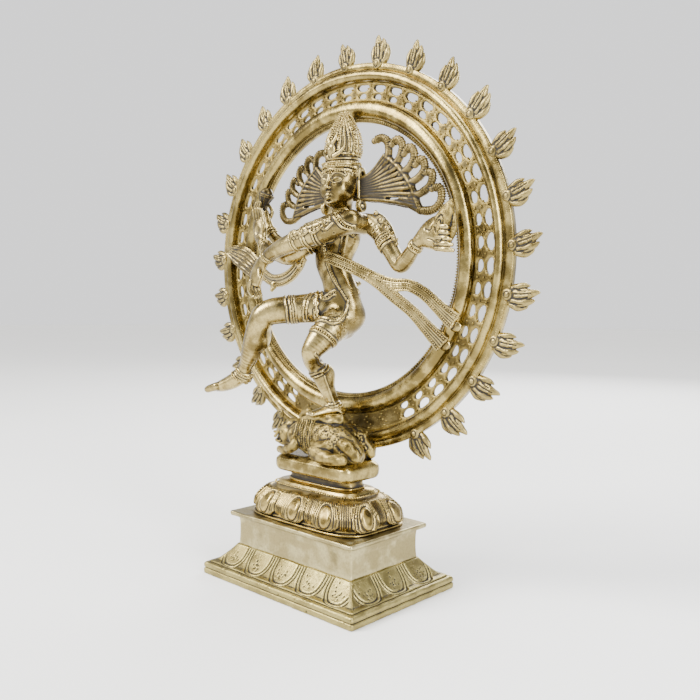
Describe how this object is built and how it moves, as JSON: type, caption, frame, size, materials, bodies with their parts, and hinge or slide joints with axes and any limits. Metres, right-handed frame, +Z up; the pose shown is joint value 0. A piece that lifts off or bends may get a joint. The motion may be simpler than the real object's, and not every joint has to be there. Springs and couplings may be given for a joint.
{
  "type": "dancing figure statue",
  "caption": "Brass statue of a many-armed dancing figure standing on a small lying figure inside an oval ring of flames, on a lotus tier and stepped base.",
  "frame": {"origin": "centre of the foot's underside, on the surface it stands on", "axes": "+Z up; +Y towards the back, the figure faces -Y; +X to the viewer's right"},
  "size_m": [0.2974, 0.0976, 0.3585],
  "materials": {
    "plinth_brass": "dull greenish cast brass with a brushed band",
    "plate_brass": "brushed, spotted",
    "lotus_brass": "polished highs over dark recesses",
    "polished_brass": "hand polished",
    "figure_brass": "polished antique with dark engraved lines",
    "aged_brass": "dark antique",
    "pitted_brass": "matte, pitted casting skin",
    "flame_brass": "antique with worn tips",
    "fixing_steel": "plain"
  },
  "bodies": {
    "root": {"plinth": "plinth_brass", "top_plate": "plate_brass", "lotus_seat": "lotus_brass", "neck": "lotus_brass", "cushion_slab": "polished_brass", "fixing_stud": "fixing_steel", "stud_washer": "fixing_steel", "stud_nut": "fixing_steel", "dwarf": "pitted_brass", "torso": "figure_brass", "standing_leg": "figure_brass", "raised_leg": "figure_brass", "head": "figure_brass", "crown": "figure_brass", "crown_lug": "aged_brass", "front_right_arm": "figure_brass", "front_left_arm": "figure_brass", "rear_right_arm": "figure_brass", "rear_left_arm": "figure_brass", "drum": "aged_brass", "hand_flame": "pitted_brass", "hair_fan_right": "aged_brass", "hair_fan_left": "aged_brass", "sash_right": "figure_brass", "sash_left": "figure_brass", "ring_outer_rail": "polished_brass", "ring_inner_rail": "polished_brass", "ring_lattice": "pitted_brass", "ring_foot": "pitted_brass", "flame_01": "flame_brass", "flame_02": "flame_brass", "flame_03": "flame_brass", "flame_04": "flame_brass", "flame_05": "flame_brass", "flame_06": "flame_brass", "flame_07": "flame_brass", "flame_08": "flame_brass", "flame_09": "flame_brass", "flame_10": "flame_brass", "flame_11": "flame_brass", "flame_12": "flame_brass", "flame_13": "flame_brass", "flame_14": "flame_brass", "flame_15": "flame_brass", "flame_16": "flame_brass", "flame_17": "flame_brass", "flame_18": "flame_brass", "flame_19": "flame_brass", "flame_20": "flame_brass", "flame_21": "flame_brass", "flame_22": "flame_brass", "flame_23": "flame_brass", "flame_24": "flame_brass", "flame_25": "flame_brass"}
  },
  "joints": []
}
